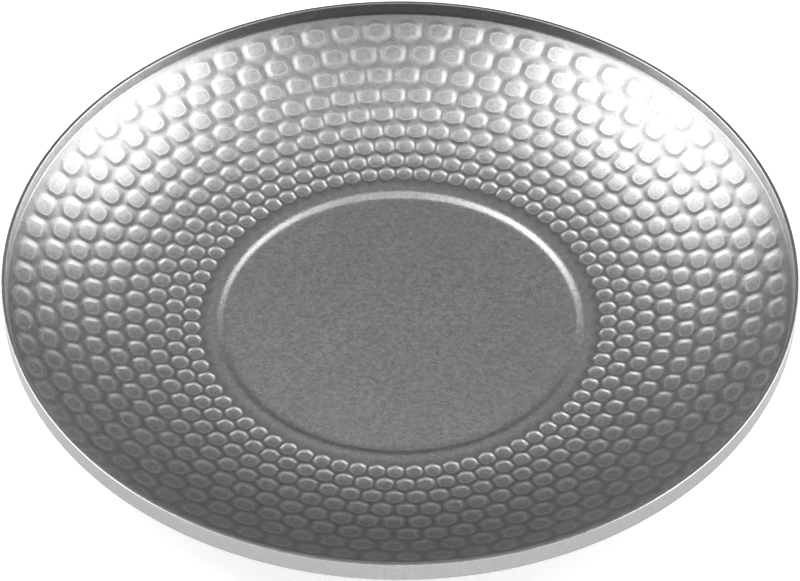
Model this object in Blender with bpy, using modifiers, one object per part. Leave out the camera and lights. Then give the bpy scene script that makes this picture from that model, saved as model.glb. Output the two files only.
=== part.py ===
"""Paten plate: a round metal dish with a sunken well, a dimpled bowl wall and a thin upright lip."""
import bpy
import bmesh
from math import asin, atan2, cos, pi, radians, sin

# ---- Driving dimensions, in metres and degrees ----
RIM_RADIUS = 0.0750            # outside of the lip
WALL = 0.0017                  # thickness of the dish, square to its surface
LIP_WIDTH = 0.0008             # flat top of the lip
DISH_DEPTH = 0.0150            # top of the lip down to the flat border round the well
WELL_RADIUS = 0.0335           # flat floor of the well
WELL_STEP_WIDTH = 0.00185      # sloping edge of the well, measured outwards
WELL_DEPTH = 0.00055           # border down to the well floor
BORDER_WIDTH = 0.00105         # flat border between the well and the start of the bowl curve
BOWL_START_SLOPE = radians(2)  # how steeply the bowl curve leaves the border
LIP_HEIGHT = 0.00257           # top of the lip down to where the bowl curve meets it
LIP_BEND_RADIUS = 0.00085      # inside radius between bowl curve and lip
OUTER_EDGE_RADIUS = 0.00025    # rounded lower edge of the lip's outer face

# ---- Dimple pattern ----
RING_COUNT = 9
DIMPLES_PER_RING = 72
FIRST_RING_OFFSET = 0.00341    # along the bowl curve, from its start to the first ring's centres
LAST_ROW_MARGIN = 0.00003      # along the bowl curve, from the last ring's outer corners to the lip's bend
RING_STEP_GROWTH = 0.0658      # each ring step is this much of the first step longer than the one before
LAST_EDGE_SHARE = 0.9          # outer half of the last ring's dimples, as a share of a full one
FIRST_DIMPLE_DEPTH = 0.00018
LAST_DIMPLE_DEPTH = 0.00016
LATTICE_TURN = 0.755           # angle of the first ring's first dimple, in dimple pitches from +X

# ---- Pad under the well ----
PAD_THICKNESS = 0.0010
PAD_INSET = 0.0015             # pad edge inside the edge of the well floor
PAD_EDGE_ROUND = 0.0002
TOUCH_GAP = 0.0003             # film of adhesive between pad and dish
PAD_SEGMENTS = 96

PITCH = 2 * pi / DIMPLES_PER_RING
WELL_EDGE_ROWS = 3
BEND_ROWS = 2
UNDERSIDE_ROWS = 12

# ---- Derived places: heights are measured from the top of the lip ----
BOWL_START = WELL_RADIUS + WELL_STEP_WIDTH + BORDER_WIDTH
BORDER_Z = -DISH_DEPTH
WELL_Z = BORDER_Z - WELL_DEPTH
LIP_INNER_RADIUS = RIM_RADIUS - LIP_WIDTH
RIM_TOP_Z = PAD_THICKNESS + TOUCH_GAP + WALL + WELL_DEPTH + DISH_DEPTH

# ---- The bowl curve: an arc from the border to the lip ----
BOWL_RUN = LIP_INNER_RADIUS - BOWL_START
BOWL_RISE = DISH_DEPTH - LIP_HEIGHT
BOWL_END_SLOPE = 2 * atan2(BOWL_RISE, BOWL_RUN) - BOWL_START_SLOPE
BOWL_CURVE = BOWL_RUN / (sin(BOWL_END_SLOPE) - sin(BOWL_START_SLOPE))
BOWL_CENTRE_RADIUS = BOWL_START - BOWL_CURVE * sin(BOWL_START_SLOPE)
BOWL_CENTRE_Z = BORDER_Z + BOWL_CURVE * cos(BOWL_START_SLOPE)


def on_bowl(slope, below=0.0):
    """Radius and height of the bowl's upper face where it has a slope, or of a point that far below it."""
    reach = BOWL_CURVE + below
    return BOWL_CENTRE_RADIUS + reach * sin(slope), BOWL_CENTRE_Z - reach * cos(slope)


def bowl_point(distance):
    """Radius and height at a distance along the bowl curve."""
    return on_bowl(BOWL_START_SLOPE + distance / BOWL_CURVE)


def bend_slope(wall_radius, bend_radius, below=0.0):
    """Slope where a bend leaves the bowl curve, or a curve that far below it, to meet an upright wall."""
    run = wall_radius - bend_radius - BOWL_CENTRE_RADIUS
    return asin(run / (BOWL_CURVE + below - bend_radius))


def ring_distances():
    """Distance along the bowl curve of each ring of dimple centres."""
    gaps = RING_COUNT - 1
    last_step = 1 + RING_STEP_GROWTH * (gaps - 1)
    steps_in_all = gaps + RING_STEP_GROWTH * gaps * (gaps - 1) / 2 + last_step * LAST_EDGE_SHARE * 2 / 3
    bend_start = BOWL_CURVE * (bend_slope(LIP_INNER_RADIUS, LIP_BEND_RADIUS) - BOWL_START_SLOPE)
    first_step = (bend_start - LAST_ROW_MARGIN - FIRST_RING_OFFSET) / steps_in_all
    distances = [FIRST_RING_OFFSET]
    for gap in range(gaps):
        distances.append(distances[-1] + first_step * (1 + RING_STEP_GROWTH * gap))
    return distances


def corner_distances(rings):
    """Distance along the bowl curve of each row of dimple corners, two rows below and above every ring."""
    steps = [b - a for a, b in zip(rings, rings[1:])]
    steps.append(steps[-1] * LAST_EDGE_SHARE)
    rows = [rings[0] - steps[0] * 2 / 3, rings[0] - steps[0] / 3]
    for ring, step in zip(rings, steps):
        rows += [ring + step / 3, ring + step * 2 / 3]
    return rows


def add_circle(mesh, radius, height, turn=0.0):
    """One row of vertices, a dimple pitch apart, turned by a share of a pitch."""
    row = []
    for index in range(DIMPLES_PER_RING):
        angle = (index + turn) * PITCH
        row.append(mesh.verts.new((radius * cos(angle), radius * sin(angle), height)))
    return row


def turned(row, shift):
    """The same row counted from another vertex."""
    shift %= len(row)
    return row[shift:] + row[:shift]


def join_rows(mesh, inner, outer):
    """Quads between two plain rows."""
    for index in range(DIMPLES_PER_RING):
        mesh.faces.new((inner[index - 1], outer[index - 1], outer[index], inner[index]))


def join_zigzag(mesh, plain, near, far, outwards):
    """Triangles between a plain row and a toothed edge, whose teeth stand between the row's vertices."""
    for index in range(DIMPLES_PER_RING):
        tooth = far[index]
        triangles = (
            (plain[index - 1], near[index - 1], tooth),
            (plain[index - 1], tooth, plain[index]),
            (plain[index], tooth, near[index]),
        )
        for triangle in triangles:
            mesh.faces.new(triangle if outwards else triangle[::-1])


def well_rows():
    """Radius and height of the rows from the well floor to the start of the bowl curve."""
    rows = []
    for index in range(WELL_EDGE_ROWS + 1):
        share = index / WELL_EDGE_ROWS
        rise = (1 - cos(pi * share)) / 2
        rows.append((WELL_RADIUS + WELL_STEP_WIDTH * share, WELL_Z + WELL_DEPTH * rise))
    rows.append((BOWL_START, BORDER_Z))
    return rows


def bend_rows(wall_radius, bend_radius, below):
    """Radius and height of the rows of a bend, from the bowl curve to the upright wall."""
    first_slope = bend_slope(wall_radius, bend_radius, below)
    centre_radius = wall_radius - bend_radius
    centre_z = on_bowl(first_slope, below - bend_radius)[1]
    rows = []
    for index in range(BEND_ROWS + 1):
        slope = first_slope + (pi / 2 - first_slope) * index / BEND_ROWS
        rows.append((centre_radius + bend_radius * sin(slope), centre_z - bend_radius * cos(slope)))
    return rows


def outer_rows():
    """Radius and height of the rows from the bend inside the lip, over the lip and down to the well's underside."""
    rows = bend_rows(LIP_INNER_RADIUS, LIP_BEND_RADIUS, 0.0)
    rows += [(LIP_INNER_RADIUS, 0.0), (RIM_RADIUS, 0.0)]
    rows += bend_rows(RIM_RADIUS, OUTER_EDGE_RADIUS, WALL)[::-1]
    last_slope = bend_slope(RIM_RADIUS, OUTER_EDGE_RADIUS, WALL)
    for index in range(1, UNDERSIDE_ROWS + 1):
        share = 1 - index / UNDERSIDE_ROWS
        rows.append(on_bowl(BOWL_START_SLOPE + (last_slope - BOWL_START_SLOPE) * share, WALL))
    rows += [(radius, height - WALL) for radius, height in well_rows()[-2::-1]]
    return rows


def add_well(mesh):
    """Well floor, well edge and border. Returns the outermost row."""
    rows = [add_circle(mesh, radius, height) for radius, height in well_rows()]
    mesh.faces.new(rows[0])
    for inner, outer in zip(rows, rows[1:]):
        join_rows(mesh, inner, outer)
    return rows[-1]


def add_outside(mesh):
    """Bend, lip, outer face and underside. Returns the first row, inside the lip."""
    rows = [add_circle(mesh, radius, height) for radius, height in outer_rows()]
    for inner, outer in zip(rows, rows[1:]):
        join_rows(mesh, inner, outer)
    mesh.faces.new(rows[-1][::-1])
    return rows[0]


def add_dimple_cells(mesh, rings):
    """Six-sided cells on the bowl curve. Returns the corner rows and the cells of each ring."""
    corners = []
    for index, distance in enumerate(corner_distances(rings)):
        radius, height = bowl_point(distance)
        corners.append(add_circle(mesh, radius, height, LATTICE_TURN + (index + 1) // 2 / 2))
    cells = []
    for ring in range(RING_COUNT):
        inner, low, high, outer = corners[2 * ring:2 * ring + 4]
        ring_cells = []
        for index in range(DIMPLES_PER_RING):
            loop = (inner[index], low[index - 1], high[index - 1], outer[index - 1], high[index], low[index])
            ring_cells.append(mesh.faces.new(loop))
        cells.append(ring_cells)
    return corners, cells


def press_dimples(mesh, cells):
    """Sink the middle of every cell."""
    for ring, ring_cells in enumerate(cells):
        share = ring / (RING_COUNT - 1)
        depth = FIRST_DIMPLE_DEPTH + (LAST_DIMPLE_DEPTH - FIRST_DIMPLE_DEPTH) * share
        bmesh.ops.poke(mesh, faces=ring_cells, offset=-depth, center_mode='MEAN')


def make_material(name, colour, roughness, metallic):
    material = bpy.data.materials.new(name)
    material.use_nodes = True
    shader = material.node_tree.nodes["Principled BSDF"]
    shader.inputs["Base Color"].default_value = (*colour, 1.0)
    shader.inputs["Roughness"].default_value = roughness
    shader.inputs["Metallic"].default_value = metallic
    return material


def make_dish(collection):
    """The dish: well, dimpled bowl wall, lip and smooth underside in one closed surface."""
    mesh = bmesh.new()
    border = add_well(mesh)
    corners, cells = add_dimple_cells(mesh, ring_distances())
    lip_foot = add_outside(mesh)
    first_turn = round(LATTICE_TURN + 0.5)
    last_turn = round(LATTICE_TURN + RING_COUNT / 2)
    join_zigzag(mesh, turned(border, first_turn), corners[1], corners[0], True)
    join_zigzag(mesh, turned(lip_foot, last_turn), corners[-2], turned(corners[-1], -1), False)
    press_dimples(mesh, cells)
    data = bpy.data.meshes.new("dish")
    mesh.to_mesh(data)
    mesh.free()
    dish = bpy.data.objects.new("dish", data)
    dish.location = (0, 0, RIM_TOP_Z)
    collection.objects.link(dish)
    data.materials.append(make_material("satin_metal", (0.45, 0.45, 0.44), 0.35, 1.0))
    data.shade_smooth()
    data.set_sharp_from_angle(angle=radians(40))
    return dish


def make_base_pad(collection):
    """Thin round pad under the well floor."""
    radius = WELL_RADIUS - PAD_INSET
    bpy.ops.mesh.primitive_cylinder_add(
        vertices=PAD_SEGMENTS, radius=radius, depth=PAD_THICKNESS, location=(0, 0, PAD_THICKNESS / 2))
    pad = bpy.context.object
    pad.name = "base_pad"
    pad.data.name = "base_pad"
    for owner in pad.users_collection:
        owner.objects.unlink(pad)
    collection.objects.link(pad)
    edge = pad.modifiers.new("edge", 'BEVEL')
    edge.width = PAD_EDGE_ROUND
    edge.segments = 1
    edge.limit_method = 'ANGLE'
    edge.angle_limit = radians(60)
    pad.data.materials.append(make_material("pad_rubber", (0.03, 0.03, 0.03), 0.8, 0.0))
    return pad


def main():
    for item in list(bpy.data.objects):
        bpy.data.objects.remove(item, do_unlink=True)
    collection = bpy.data.collections.new("paten_plate")
    bpy.context.scene.collection.children.link(collection)
    make_dish(collection)
    make_base_pad(collection)


main()
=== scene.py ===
"""The finished look of the paten plate: a dish of satin metal on a thin rubber pad."""
from math import asin, atan2, cos, pi, radians, sin

import bpy
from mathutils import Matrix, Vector


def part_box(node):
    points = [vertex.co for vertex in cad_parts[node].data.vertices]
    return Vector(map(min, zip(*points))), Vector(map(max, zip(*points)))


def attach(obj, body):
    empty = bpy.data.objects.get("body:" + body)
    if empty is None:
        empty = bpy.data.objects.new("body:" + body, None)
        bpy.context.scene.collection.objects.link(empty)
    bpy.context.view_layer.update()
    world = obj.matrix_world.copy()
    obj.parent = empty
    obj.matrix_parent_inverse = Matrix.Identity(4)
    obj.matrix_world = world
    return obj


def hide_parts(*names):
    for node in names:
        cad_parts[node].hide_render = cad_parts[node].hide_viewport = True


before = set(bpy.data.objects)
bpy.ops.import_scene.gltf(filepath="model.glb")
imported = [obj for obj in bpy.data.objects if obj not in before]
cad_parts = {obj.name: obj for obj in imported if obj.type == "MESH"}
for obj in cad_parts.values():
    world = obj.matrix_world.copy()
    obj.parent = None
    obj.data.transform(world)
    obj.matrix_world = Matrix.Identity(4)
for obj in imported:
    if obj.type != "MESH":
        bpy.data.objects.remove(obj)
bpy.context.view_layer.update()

# ---- Sizes of the dish, in metres and radians, as in the CAD part ----
DISH_LOW, DISH_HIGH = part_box("dish")
PAD_LOW, PAD_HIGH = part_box("base_pad")
RIM_RADIUS = min(DISH_HIGH[0], -DISH_LOW[0], DISH_HIGH[1], -DISH_LOW[1])
RIM_TOP = DISH_HIGH[2]
WALL = 0.0017
LIP_WIDTH = 0.0008
DISH_DEPTH = 0.0150
WELL_RADIUS = 0.0335
WELL_STEP_WIDTH = 0.00185
WELL_DEPTH = 0.00055
BORDER_WIDTH = 0.00105
BOWL_START_SLOPE = radians(2)
LIP_HEIGHT = 0.00257
LIP_BEND_RADIUS = 0.00085
OUTER_EDGE_RADIUS = 0.00025
LIP_EDGE_ROUND = 0.00016       # rounding of both top edges of the lip

# ---- Dimple pattern ----
RING_COUNT = 9
DIMPLES_PER_RING = 72
FIRST_RING_OFFSET = 0.00341
LAST_ROW_MARGIN = 0.00003
RING_STEP_GROWTH = 0.0658
LAST_EDGE_SHARE = 0.9
FIRST_DIMPLE_DEPTH = 0.00018
LAST_DIMPLE_DEPTH = 0.00016
LATTICE_TURN = 0.755
PITCH = 2 * pi / DIMPLES_PER_RING
SIDE_SHARES = (0.0, 0.25, 0.75)            # points along each side of a six-sided cell
FLOOR_WIDTH_SHARE = 1.00                   # the rounded outline's width as a share of the pitch
FLOOR_REACH_SHARE = 1.04                   # its extent along the bowl as a share of the ring step
FIRST_SQUARENESS = 2.3                     # exponent of the rounded outline: 2 is round, more is squarer
LAST_SQUARENESS = 2.7

# Each loop round a dimple: its size as a share of the cell in the first and the last ring, its depth as a
# share of the dimple's, how rounded its outline is, how worn and grainy its surface is, and its painted
# shade, which darkens the crests between the dimples.
LOOPS = (
    (1.00, 1.00, 0.00, 0.0, 0.0, 0.2, 1.0),
    (0.97, 0.95, 0.06, 0.8, 0.0, 0.2, 0.9),
    (0.88, 0.82, 0.36, 1.0, 0.0, 0.0, 0.3),
    (0.76, 0.67, 0.80, 1.0, 0.0, 0.0, 0.0),
    (0.67, 0.59, 0.99, 1.0, 0.2, 0.1, 0.0),
    (0.63, 0.55, 0.97, 1.0, 0.8, 0.3, 0.0),
    (0.57, 0.49, 1.03, 1.0, 0.0, 0.6, 0.0),
)
FIRST_CENTRE_DEPTH = 1.30      # depth in the middle of the floor, as a share of the dimple's
LAST_CENTRE_DEPTH = 1.06
OUTER_SHADE_FADE = 0.5          # how much less painted shade the last ring has than the first

# ---- How finely the smooth parts are divided ----
WELL_SHARES = (0.5, 0.97)      # rows on the well floor, as shares of its radius
WELL_STEP_ROWS = 6
BEND_ROWS = 5
LIP_EDGE_ROWS = 3
OUTER_EDGE_ROWS = 3
UNDERSIDE_ROWS = 8
PAD_SEGMENTS = 192
PAD_EDGE_ROWS = 4
PAD_EDGE_ROUND = 0.00035       # rounding of both edges of the pad

# ---- Surface of the lip: shares of wear, grain and painted shade ----
LIP_EDGE_WEAR = 0.5
LIP_GRAIN = 0.5
# Painted shade on the lip's outer face and flat top, and in the bend inside it
OUTER_FACE_PAINTED_SHADE = 0.9
BEND_PAINTED_SHADE = 0.6

# ---- Metal: noise scales per metre, linear colours, bump distances in metres ----
MOTTLE_SCALE = 1100
CLOUD_SCALE = 60
PIT_SCALE = 2700
SKIN_SCALE = 3300
METAL_DARK = (0.44, 0.44, 0.435)
METAL_LIGHT = (0.59, 0.59, 0.585)
METAL_CLOUD = (0.46, 0.455, 0.445)
METAL_PIT = (0.24, 0.24, 0.24)
# Painted shade: the dark colour mixed in along the crests between the dimples and on the lip
METAL_PAINTED_SHADE = (0.27, 0.27, 0.27)
METAL_WORN = (0.78, 0.78, 0.77)
CLOUD_SHARE = 0.3
# How strongly the painted shade darkens the colour
PAINTED_SHADE_SHARE = 0.75
WEAR_SHARE = 0.7
SMOOTHEST = 0.32
ROUGHEST = 0.40
PIT_ROUGHNESS = 0.12
WEAR_ROUGHNESS = 0.06
METAL_BUMP = 0.00003

# ---- Rubber ----
DUST_SCALE = 260
RUBBER_SCALE = 2200
RUBBER_BLACK = (0.022, 0.022, 0.023)
RUBBER_DUST = (0.075, 0.072, 0.068)
RUBBER_BUMP = 0.00006

# ---- Derived places: heights are measured from the top of the lip ----
BOWL_START = WELL_RADIUS + WELL_STEP_WIDTH + BORDER_WIDTH
LIP_INNER_RADIUS = RIM_RADIUS - LIP_WIDTH
BOWL_RUN = LIP_INNER_RADIUS - BOWL_START
BOWL_RISE = DISH_DEPTH - LIP_HEIGHT
BOWL_END_SLOPE = 2 * atan2(BOWL_RISE, BOWL_RUN) - BOWL_START_SLOPE
BOWL_CURVE = BOWL_RUN / (sin(BOWL_END_SLOPE) - sin(BOWL_START_SLOPE))
BOWL_CENTRE_RADIUS = BOWL_START - BOWL_CURVE * sin(BOWL_START_SLOPE)
BOWL_CENTRE_Z = -DISH_DEPTH + BOWL_CURVE * cos(BOWL_START_SLOPE)

# ---- Camera ----
CAMERA_DISTANCE = 0.750
CAMERA_ELEVATION = radians(45.25)
CAMERA_AIM_Z = RIM_TOP - 0.0074
CAMERA_LENS = 177.8            # mm, on the sensor width below
SENSOR_WIDTH = 36.0

# ---- Studio ----
SOFTBOX_DISTANCE = 1.2
FLOOR_HALF_WIDTH = 3.0
FLOOR_WHITE = 0.9
FLOOR_GLOW = 0.46              # brightness the floor gives off by itself
WORLD_GLOW = 0.02


# ---- The profile of the dish ----

def on_bowl(slope, below=0.0):
    """Radius and height where the bowl curve, or one that far below it, has a slope."""
    reach = BOWL_CURVE + below
    return BOWL_CENTRE_RADIUS + reach * sin(slope), BOWL_CENTRE_Z - reach * cos(slope)


def well_points():
    """Radius and height from near the axis to the start of the bowl curve."""
    points = [(WELL_RADIUS * share, -DISH_DEPTH - WELL_DEPTH) for share in WELL_SHARES]
    for index in range(WELL_STEP_ROWS + 1):
        share = index / WELL_STEP_ROWS
        rise = (1 - cos(pi * share)) / 2
        points.append((WELL_RADIUS + WELL_STEP_WIDTH * share, -DISH_DEPTH - WELL_DEPTH * (1 - rise)))
    points.append((BOWL_START - BORDER_WIDTH / 3, -DISH_DEPTH))
    points.append((BOWL_START, -DISH_DEPTH))
    return points


def arc_points(centre_radius, centre_z, reach, first, last, steps):
    """Points of an arc between two angles, measured from straight down towards outwards."""
    points = []
    for index in range(steps + 1):
        angle = first + (last - first) * index / steps
        points.append((centre_radius + reach * sin(angle), centre_z - reach * cos(angle)))
    return points


def bend_slope(wall_radius, bend_radius, below=0.0):
    """Slope where a bend leaves the bowl curve, or a curve that far below it, to meet an upright wall."""
    run = wall_radius - bend_radius - BOWL_CENTRE_RADIUS
    return asin(run / (BOWL_CURVE + below - bend_radius))


def bend_points(wall_radius, bend_radius, below, steps):
    """Points of a bend from the bowl curve, or one that far below it, to an upright wall."""
    first = bend_slope(wall_radius, bend_radius, below)
    centre_z = on_bowl(first, below - bend_radius)[1]
    return arc_points(wall_radius - bend_radius, centre_z, bend_radius, first, pi / 2, steps)


def outer_points():
    """Radius and height from the bend inside the lip, over the lip and down to the underside of the well."""
    points = bend_points(LIP_INNER_RADIUS, LIP_BEND_RADIUS, 0.0, BEND_ROWS)
    points.append((LIP_INNER_RADIUS, -LIP_EDGE_ROUND * 2))
    edge = LIP_EDGE_ROUND
    points += arc_points(LIP_INNER_RADIUS + edge, -edge, edge, -pi / 2, -pi, LIP_EDGE_ROWS)
    points.append((LIP_INNER_RADIUS + edge * 1.6, 0.0))
    points.append((RIM_RADIUS - edge * 1.6, 0.0))
    points += arc_points(RIM_RADIUS - edge, -edge, edge, pi, pi / 2, LIP_EDGE_ROWS)
    points.append((RIM_RADIUS, -LIP_EDGE_ROUND * 2))
    points += bend_points(RIM_RADIUS, OUTER_EDGE_RADIUS, WALL, OUTER_EDGE_ROWS)[::-1]
    last_slope = bend_slope(RIM_RADIUS, OUTER_EDGE_RADIUS, WALL)
    for index in range(1, UNDERSIDE_ROWS + 1):
        share = 1 - index / UNDERSIDE_ROWS
        points.append(on_bowl(BOWL_START_SLOPE + (last_slope - BOWL_START_SLOPE) * share, WALL))
    points += [(radius, height - WALL) for radius, height in well_points()[-2::-1]]
    return points


# ---- Building meshes ----

class Builder:
    """Gathers vertices and faces, with shares of wear, grain and painted shade for each vertex."""

    def __init__(self):
        self.vertices = []
        self.faces = []
        self.wear = []
        self.grain = []
        self.painted_shade = []

    def add(self, angle, radius, height, wear=0.0, grain=0.0, painted_shade=0.0):
        """One vertex. Returns its number."""
        self.vertices.append((radius * cos(angle), radius * sin(angle), RIM_TOP + height))
        self.wear.append(wear)
        self.grain.append(grain)
        self.painted_shade.append(painted_shade)
        return len(self.vertices) - 1

    def add_ring(self, angles, radius, height, wear=0.0, grain=0.0, painted_shade=0.0):
        """A ring of vertices at the given angles. Returns their numbers."""
        return [self.add(angle, radius, height, wear, grain, painted_shade) for angle in angles]

    def join(self, inner, outer):
        """Quads between two closed counter-clockwise rows, facing up when the outer row is further out."""
        count = len(inner)
        for index in range(count):
            after = (index + 1) % count
            self.faces.append((inner[index], outer[index], outer[after], inner[after]))

    def join_all(self, rows):
        """Quads between each row and the next."""
        for inner, outer in zip(rows, rows[1:]):
            self.join(inner, outer)

    def fan(self, row, centre, up=True):
        """Triangles from a row to one vertex."""
        for index in range(len(row)):
            face = (row[index], row[(index + 1) % len(row)], centre)
            self.faces.append(face if up else face[::-1])


def ring_distances():
    """Distance along the bowl curve of each ring of dimple centres."""
    gaps = RING_COUNT - 1
    last_step = 1 + RING_STEP_GROWTH * (gaps - 1)
    steps_in_all = gaps + RING_STEP_GROWTH * gaps * (gaps - 1) / 2 + last_step * LAST_EDGE_SHARE * 2 / 3
    bend_start = BOWL_CURVE * (bend_slope(LIP_INNER_RADIUS, LIP_BEND_RADIUS) - BOWL_START_SLOPE)
    first_step = (bend_start - LAST_ROW_MARGIN - FIRST_RING_OFFSET) / steps_in_all
    distances = [FIRST_RING_OFFSET]
    for gap in range(gaps):
        distances.append(distances[-1] + first_step * (1 + RING_STEP_GROWTH * gap))
    return distances


def cell_outline(ring, distances):
    """Points round one cell as (turn, distance), counter-clockwise from above, from its innermost corner."""
    steps = [b - a for a, b in zip(distances, distances[1:])]
    inner_step = steps[max(ring - 1, 0)]
    outer_step = steps[ring] if ring < len(steps) else steps[-1] * LAST_EDGE_SHARE
    corners = [
        (0.0, -inner_step * 2 / 3), (-0.5, -inner_step / 3), (-0.5, outer_step / 3),
        (0.0, outer_step * 2 / 3), (0.5, outer_step / 3), (0.5, -inner_step / 3),
    ]
    points = []
    for corner, after in zip(corners, corners[1:] + corners[:1]):
        for share in SIDE_SHARES:
            points.append(tuple(a + (b - a) * share for a, b in zip(corner, after)))
    return points


def rounded_outline(ring, outline):
    """The points of an outline moved straight in or out onto a rounded square."""
    share = ring / (RING_COUNT - 1)
    power = FIRST_SQUARENESS + (LAST_SQUARENESS - FIRST_SQUARENESS) * share
    half_width = FLOOR_WIDTH_SHARE / 2
    innermost_corner = -outline[0][1]
    outermost_corner = max(along for side, along in outline)
    points = []
    for side, along in outline:
        corner = outermost_corner if along > 0 else innermost_corner
        half_reach = FLOOR_REACH_SHARE * corner * 3 / 4
        scale = (abs(side / half_width) ** power + abs(along / half_reach) ** power) ** (-1 / power)
        points.append((side * scale, along * scale))
    return points


class Cells:
    """The dimples of the bowl wall."""

    def __init__(self, builder):
        self.builder = builder
        self.distances = ring_distances()
        self.edges = {}

    def key(self, turn, distance):
        """The same value for every cell that shares an edge point."""
        return round(turn * 8) % (DIMPLES_PER_RING * 8), round(distance * 1e7)

    def add_point(self, turn, distance, fall, surface):
        """A vertex that lies a fall below the bowl's surface."""
        slope = BOWL_START_SLOPE + distance / BOWL_CURVE
        radius, height = on_bowl(slope, fall)
        return self.builder.add(turn * PITCH, radius, height, *surface)

    def edge_point(self, turn, distance, surface):
        """A vertex of a cell's outer edge, shared with its neighbours."""
        key = self.key(turn, distance)
        if key not in self.edges:
            self.edges[key] = self.add_point(turn, distance, 0.0, surface)
        return self.edges[key]

    def add_cell(self, turn, ring, outline, rounded):
        """One dimple: rings of quads from its edge down to its floor, closed by a fan."""
        share = ring / (RING_COUNT - 1)
        depth = FIRST_DIMPLE_DEPTH + (LAST_DIMPLE_DEPTH - FIRST_DIMPLE_DEPTH) * share
        distance = self.distances[ring]
        rows = []
        for first_size, last_size, drop, rounding, wear, grain, painted_shade in LOOPS:
            size = first_size + (last_size - first_size) * share
            # The last value is painted shade on the crests, weaker towards the outer rings
            surface = (wear, grain, painted_shade * (1 - OUTER_SHADE_FADE * share))
            row = []
            for sharp, soft in zip(outline, rounded):
                side, along = [(a + (b - a) * rounding) * size for a, b in zip(sharp, soft)]
                if drop == 0.0:
                    row.append(self.edge_point(turn + side, distance + along, surface))
                else:
                    row.append(self.add_point(turn + side, distance + along, drop * depth, surface))
            rows.append(row)
        self.builder.join_all(rows[::-1])
        centre_depth = FIRST_CENTRE_DEPTH + (LAST_CENTRE_DEPTH - FIRST_CENTRE_DEPTH) * share
        centre = self.add_point(turn, distance, centre_depth * depth, surface)
        self.builder.fan(rows[-1], centre)

    def add_all(self):
        """Every cell, with alternate rings half a pitch round."""
        for ring in range(RING_COUNT):
            outline = cell_outline(ring, self.distances)
            rounded = rounded_outline(ring, outline)
            for index in range(DIMPLES_PER_RING):
                self.add_cell(index + LATTICE_TURN + ring / 2, ring, outline, rounded)

    def edge_row(self, ring, outward):
        """Vertices and angles along the toothed inner or outer edge of a ring of cells, in order of angle."""
        outline = cell_outline(ring, self.distances)
        count = len(SIDE_SHARES)
        numbers = range(2 * count, 4 * count) if outward else range(count, -count, -1)
        row, angles = [], []
        for index in range(DIMPLES_PER_RING):
            turn = index + LATTICE_TURN + ring / 2
            for side, along in [outline[number] for number in numbers]:
                row.append(self.edges[self.key(turn + side, self.distances[ring] + along)])
                angles.append((turn + side) * PITCH)
        return row, angles


def make_object(name, builder):
    """An object from what a builder gathered, with wear, grain and painted shade for its material."""
    mesh = bpy.data.meshes.new(name)
    mesh.from_pydata(builder.vertices, [], builder.faces)
    for title, values in (("wear", builder.wear), ("grain", builder.grain), ("painted_shade", builder.painted_shade)):
        mesh.attributes.new(title, 'FLOAT', 'POINT').data.foreach_set("value", values)
    mesh.shade_smooth()
    mesh.validate()
    item = bpy.data.objects.new(name, mesh)
    bpy.context.scene.collection.objects.link(item)
    return item


def lip_wear(radius, height):
    """The inner edge of the lip is worn bright."""
    near_top = height > -LIP_EDGE_ROUND * 0.9
    near_inside = radius < LIP_INNER_RADIUS + LIP_EDGE_ROUND * 1.2
    return LIP_EDGE_WEAR if near_top and near_inside else 0.0


def lip_painted_shade(radius, height):
    """Painted shade: the outer face, the flat top and the bend inside the lip are coloured darker than the
    rest.
    """
    outer_face = radius > RIM_RADIUS - LIP_EDGE_ROUND / 2 and height < -LIP_EDGE_ROUND
    bend = radius < LIP_INNER_RADIUS and height > -LIP_HEIGHT - LIP_BEND_RADIUS
    flat_top = height == 0.0
    if outer_face or flat_top:
        return OUTER_FACE_PAINTED_SHADE
    return BEND_PAINTED_SHADE if bend else 0.0


def make_dish():
    """The dimples, the well that closes them inwards and the lip and underside that close them outwards."""
    builder = Builder()
    cells = Cells(builder)
    cells.add_all()
    inner_row, inner_angles = cells.edge_row(0, False)
    outer_row, outer_angles = cells.edge_row(RING_COUNT - 1, True)
    rows = [builder.add_ring(inner_angles, radius, height, grain=1.0) for radius, height in well_points()]
    builder.fan(rows[0], builder.add(0.0, 0.0, -DISH_DEPTH - WELL_DEPTH, grain=1.0))
    builder.join_all(rows + [inner_row])
    rows = []
    for radius, height in outer_points():
        surface = (lip_wear(radius, height), LIP_GRAIN, lip_painted_shade(radius, height))
        rows.append(builder.add_ring(outer_angles, radius, height, *surface))
    builder.join_all([outer_row] + rows)
    builder.fan(rows[-1], builder.add(0.0, 0.0, -DISH_DEPTH - WELL_DEPTH - WALL), up=False)
    return make_object("dish_metal", builder)


def make_pad():
    """A thin disc with rounded edges."""
    radius = min(PAD_HIGH[0], -PAD_LOW[0])
    low = PAD_LOW[2] - RIM_TOP
    high = PAD_HIGH[2] - RIM_TOP
    edge = PAD_EDGE_ROUND
    outline = arc_points(radius - edge, low + edge, edge, 0.0, pi / 2, PAD_EDGE_ROWS)
    outline += arc_points(radius - edge, high - edge, edge, pi / 2, pi, PAD_EDGE_ROWS)
    builder = Builder()
    angles = [2 * pi * index / PAD_SEGMENTS for index in range(PAD_SEGMENTS)]
    rows = [builder.add_ring(angles, *point) for point in outline]
    builder.join_all(rows)
    builder.fan(rows[0], builder.add(0.0, 0.0, low), up=False)
    builder.fan(rows[-1], builder.add(0.0, 0.0, high))
    return make_object("pad_disc", builder)


# ---- Materials ----

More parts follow.
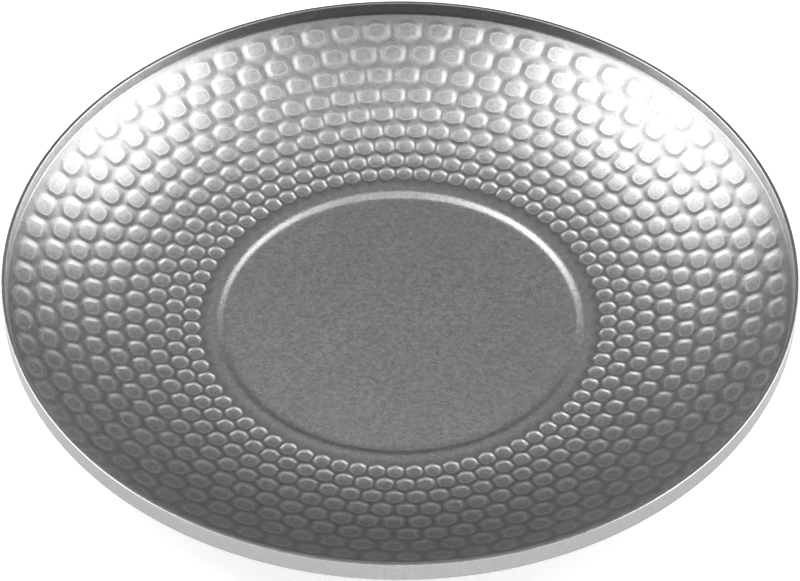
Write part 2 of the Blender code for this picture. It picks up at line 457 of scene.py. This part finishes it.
class Shading:
    """One material's nodes, with short calls to add them."""

    def __init__(self, name):
        self.material = bpy.data.materials.new(name)
        self.material.use_nodes = True
        self.nodes = self.material.node_tree.nodes
        self.shader = self.nodes["Principled BSDF"]
        self.place = self.nodes.new("ShaderNodeTexCoord").outputs["Object"]

    def link(self, output, target):
        self.material.node_tree.links.new(output, target)

    def noise(self, scale, detail=2.0, roughness=0.5):
        node = self.nodes.new("ShaderNodeTexNoise")
        node.inputs["Scale"].default_value = scale
        node.inputs["Detail"].default_value = detail
        node.inputs["Roughness"].default_value = roughness
        self.link(self.place, node.inputs["Vector"])
        return node.outputs["Fac"]

    def attribute(self, name):
        node = self.nodes.new("ShaderNodeAttribute")
        node.attribute_name = name
        return node.outputs["Fac"]

    def spread(self, source, low, high, to_low, to_high):
        """Maps low..high of the source to two other values, clamped."""
        node = self.nodes.new("ShaderNodeMapRange")
        for name, value in (("From Min", low), ("From Max", high), ("To Min", to_low), ("To Max", to_high)):
            node.inputs[name].default_value = value
        self.link(source, node.inputs["Value"])
        return node.outputs["Result"]

    def math(self, kind, first, second):
        node = self.nodes.new("ShaderNodeMath")
        node.operation = kind
        for socket, value in zip(node.inputs, (first, second)):
            if isinstance(value, float):
                socket.default_value = value
            else:
                self.link(value, socket)
        return node.outputs["Value"]

    def mix(self, factor, first, second):
        """A colour between two, each a colour or an output."""
        node = self.nodes.new("ShaderNodeMix")
        node.data_type = 'RGBA'
        sockets = [socket for socket in node.inputs if socket.type == 'RGBA']
        self.link(factor, node.inputs[0])
        for socket, value in zip(sockets, (first, second)):
            if isinstance(value, tuple):
                socket.default_value = (*value, 1)
            else:
                self.link(value, socket)
        return [socket for socket in node.outputs if socket.type == 'RGBA'][0]

    def bump(self, height, distance, below=None):
        node = self.nodes.new("ShaderNodeBump")
        node.inputs["Distance"].default_value = distance
        self.link(height, node.inputs["Height"])
        if below:
            self.link(below, node.inputs["Normal"])
        return node.outputs["Normal"]


def metal_material():
    """Satin metal with fine mottling, dark pits, a grainy skin, bright wear, and painted shade between the
    dimples and on the lip.
    """
    shading = Shading("satin_metal")
    wear = shading.attribute("wear")
    grain = shading.attribute("grain")
    painted_shade = shading.attribute("painted_shade")
    mottle = shading.noise(MOTTLE_SCALE, 4.0, 0.7)
    cloud = shading.noise(CLOUD_SCALE, 2.0)
    pits = shading.spread(shading.noise(PIT_SCALE, 2.0, 0.6), 0.57, 0.70, 0.0, 1.0)
    skin = shading.noise(SKIN_SCALE, 2.0, 0.7)
    base = shading.mix(shading.spread(mottle, 0.3, 0.7, 0.0, 1.0), METAL_DARK, METAL_LIGHT)
    clouded = shading.mix(shading.spread(cloud, 0.35, 0.65, 0.0, CLOUD_SHARE), base, METAL_CLOUD)
    pit_share = shading.math('MULTIPLY', pits, shading.spread(grain, 0.0, 1.0, 0.2, 0.8))
    pitted = shading.mix(pit_share, clouded, METAL_PIT)
    # Painted shade: the colour is darkened where the painted-shade attribute is set
    with_painted_shade = shading.mix(shading.math('MULTIPLY', painted_shade, PAINTED_SHADE_SHARE), pitted, METAL_PAINTED_SHADE)
    worn = shading.mix(shading.math('MULTIPLY', wear, WEAR_SHARE), with_painted_shade, METAL_WORN)
    shading.link(worn, shading.shader.inputs["Base Color"])
    shading.shader.inputs["Metallic"].default_value = 1.0
    satin = shading.spread(mottle, 0.3, 0.7, SMOOTHEST, ROUGHEST)
    rough = shading.math('ADD', satin, shading.math('MULTIPLY', pits, PIT_ROUGHNESS))
    worn_rough = shading.math('ADD', rough, shading.math('MULTIPLY', wear, WEAR_ROUGHNESS))
    shading.link(worn_rough, shading.shader.inputs["Roughness"])
    waves = shading.bump(mottle, METAL_BUMP)
    depth = shading.math('MULTIPLY', skin, shading.spread(grain, 0.0, 1.0, 0.4, 1.0))
    shading.link(shading.bump(depth, METAL_BUMP, waves), shading.shader.inputs["Normal"])
    return shading.material


def rubber_material():
    """Dull black rubber with a fine rough skin and a little dust."""
    shading = Shading("pad_rubber")
    dust = shading.spread(shading.noise(DUST_SCALE, 4.0, 0.6), 0.45, 0.75, 0.0, 0.6)
    colour = shading.mix(dust, RUBBER_BLACK, RUBBER_DUST)
    shading.link(colour, shading.shader.inputs["Base Color"])
    shading.link(shading.spread(dust, 0.0, 1.0, 0.62, 0.92), shading.shader.inputs["Roughness"])
    skin = shading.bump(shading.noise(RUBBER_SCALE, 3.0, 0.6), RUBBER_BUMP)
    shading.link(skin, shading.shader.inputs["Normal"])
    return shading.material


# ---- Stage ----

def make_camera():
    camera = bpy.data.objects.new("camera", bpy.data.cameras.new("camera"))
    bpy.context.scene.collection.objects.link(camera)
    camera.location = (
        0.0, -CAMERA_DISTANCE * cos(CAMERA_ELEVATION), CAMERA_AIM_Z + CAMERA_DISTANCE * sin(CAMERA_ELEVATION))
    camera.rotation_euler = (pi / 2 - CAMERA_ELEVATION, 0, 0)
    camera.data.sensor_width = SENSOR_WIDTH
    camera.data.lens = CAMERA_LENS
    camera.data.clip_start = 0.01
    bpy.context.scene.camera = camera


def make_floor():
    mesh = bpy.data.meshes.new("floor")
    half = FLOOR_HALF_WIDTH
    corners = [(-half, -half, 0), (half, -half, 0), (half, half, 0), (-half, half, 0)]
    mesh.from_pydata(corners, [], [(0, 1, 2, 3)])
    floor = bpy.data.objects.new("floor", mesh)
    bpy.context.scene.collection.objects.link(floor)
    material = bpy.data.materials.new("floor")
    material.use_nodes = True
    shader = material.node_tree.nodes["Principled BSDF"]
    shader.inputs["Base Color"].default_value = (FLOOR_WHITE, FLOOR_WHITE, FLOOR_WHITE, 1)
    shader.inputs["Roughness"].default_value = 0.9
    shader.inputs["Emission Color"].default_value = (1, 1, 1, 1)
    shader.inputs["Emission Strength"].default_value = FLOOR_GLOW
    mesh.materials.append(material)
    return floor


def add_softbox(name, azimuth, elevation, width, height, power):
    """A rectangular area light facing the plate. Azimuth runs from +Y towards +X, both angles in degrees."""
    light = bpy.data.lights.new(name, 'AREA')
    light.shape = 'RECTANGLE'
    light.size = width
    light.size_y = height
    light.energy = power
    item = bpy.data.objects.new(name, light)
    bpy.context.scene.collection.objects.link(item)
    level = cos(radians(elevation))
    place = Vector((sin(radians(azimuth)) * level, cos(radians(azimuth)) * level, sin(radians(elevation))))
    item.location = place * SOFTBOX_DISTANCE
    item.rotation_euler = (-place).to_track_quat('-Z', 'Y').to_euler()
    return item


def make_lights():
    """Two wide side panels near the floor, two softboxes above them, and weak fills from other sides."""
    add_softbox("right_panel", 90, 10, 1.35, 0.50, 15.0)
    add_softbox("left_panel", 270, 10, 1.35, 0.50, 12.5)
    add_softbox("right_softbox", 80, 50, 1.00, 0.62, 7.2)
    add_softbox("left_softbox", 282, 54, 1.00, 0.76, 8.6)
    add_softbox("far_fill", 0, 36, 1.30, 0.85, 0.55)
    add_softbox("top_fill", 0, 78, 0.80, 0.70, 1.3)
    add_softbox("camera_fill", 180, 68, 0.90, 0.38, 0.8)


def make_world():
    world = bpy.data.worlds.new("studio")
    world.use_nodes = True
    background = world.node_tree.nodes["Background"]
    background.inputs["Color"].default_value = (1, 1, 1, 1)
    background.inputs["Strength"].default_value = WORLD_GLOW
    bpy.context.scene.world = world
    bpy.context.scene.view_settings.view_transform = 'Standard'


# ---- Putting it together ----

make_camera()
make_world()
make_lights()
make_floor()

dish = make_dish()
dish.data.materials.append(metal_material())
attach(dish, "root")
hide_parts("dish")

pad = make_pad()
pad.data.materials.append(rubber_material())
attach(pad, "root")
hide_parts("base_pad")
